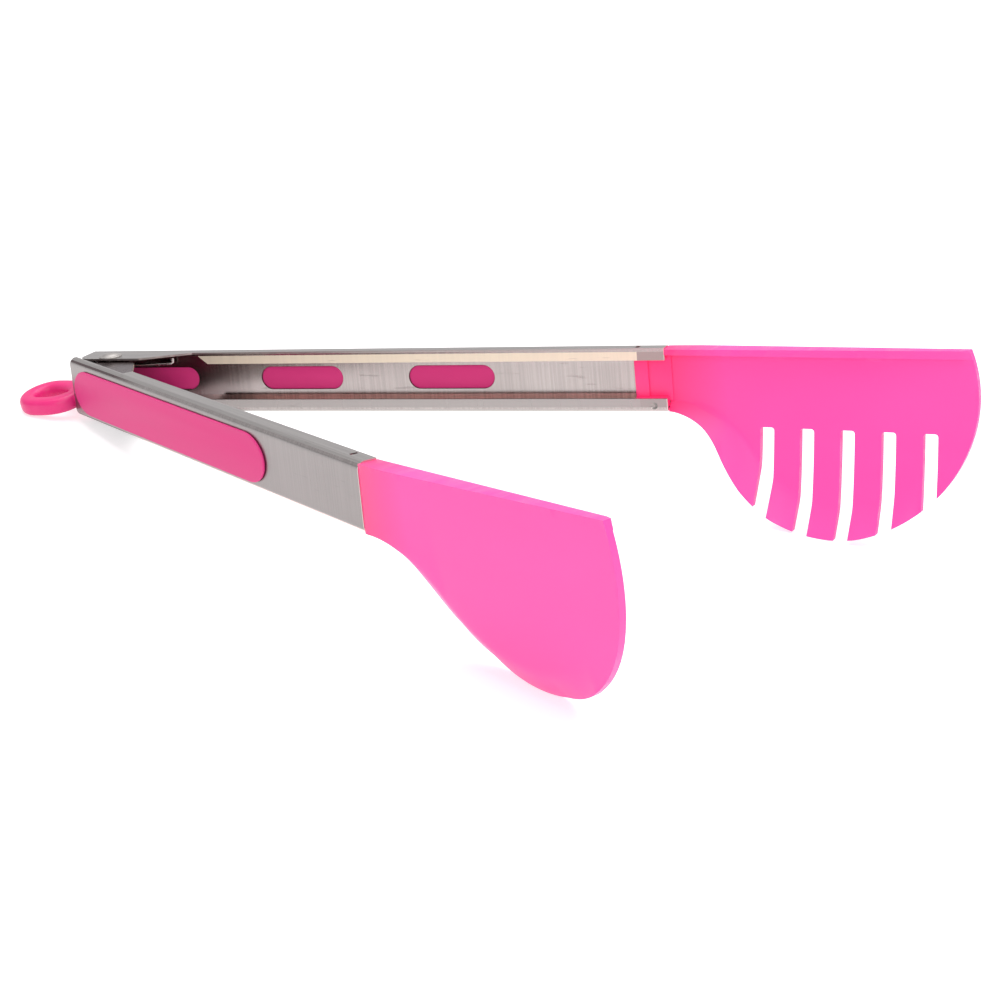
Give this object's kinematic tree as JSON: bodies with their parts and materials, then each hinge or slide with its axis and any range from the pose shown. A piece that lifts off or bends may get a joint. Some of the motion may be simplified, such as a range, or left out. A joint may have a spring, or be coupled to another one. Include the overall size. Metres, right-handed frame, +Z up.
{
  "type": "spring loaded kitchen tongs",
  "caption": "Locking kitchen tongs with sprung steel channel arms, soft grips, a pull ring, and a slotted and a solid turner head.",
  "frame": {"origin": "centre of the bounding box's base, on the surface the tongs lie on", "axes": "+X from the hinge to the heads along the middle of the opening, +Z up, +Y towards the arm with the slotted head"},
  "size_m": [0.3204, 0.184, 0.0624],
  "materials": {
    "arm_steel": "polished with fine lengthwise grain",
    "grip_silicone": "matt pink silicone",
    "head_nylon": "satin pink",
    "rivet_steel": "polished",
    "sleeve_plastic": "satin black",
    "spring_steel": "drawn wire",
    "slide_steel": "stamped sheet",
    "ring_silicone": "satin pink silicone"
  },
  "bodies": {
    "rear_arm": {"arm_channel_rear": "arm_steel", "grip_pad_rear": "grip_silicone", "head_slotted": "head_nylon", "pivot_rivet": "rivet_steel"},
    "front_arm": {"arm_channel_front": "arm_steel", "grip_pad_front": "grip_silicone", "head_spatula": "head_nylon"},
    "sleeve": {"spring_sleeve": "sleeve_plastic", "torsion_spring": "spring_steel"},
    "lock": {"lock_slider": "slide_steel", "pull_ring": "ring_silicone"}
  },
  "joints": [
    {"name": "arm_hinge", "type": "hinge", "parent": "rear_arm", "child": "front_arm", "pos_m": [-0.11951, 0, 0.00399], "axis": [-0.1349, 0, 0.9909], "range_deg": [0, 31.4], "stiffness_Nm_per_rad": 0.9, "springref_deg": -28.65, "deforming": ["torsion_spring"]},
    {"name": "sleeve_turn", "type": "hinge", "parent": "rear_arm", "child": "sleeve", "pos_m": [-0.11951, 0, 0.00399], "axis": [-0.1349, 0, 0.9909], "range_deg": [0, 8]},
    {"name": "lock_pull", "type": "slide", "parent": "sleeve", "child": "lock", "axis": [-0.981, -0.1409, -0.1335], "range_m": [0, 0.008]}
  ],
  "couplings": [
    {"joint": "sleeve_turn", "follows": "arm_hinge", "ratio": 0.242}
  ]
}
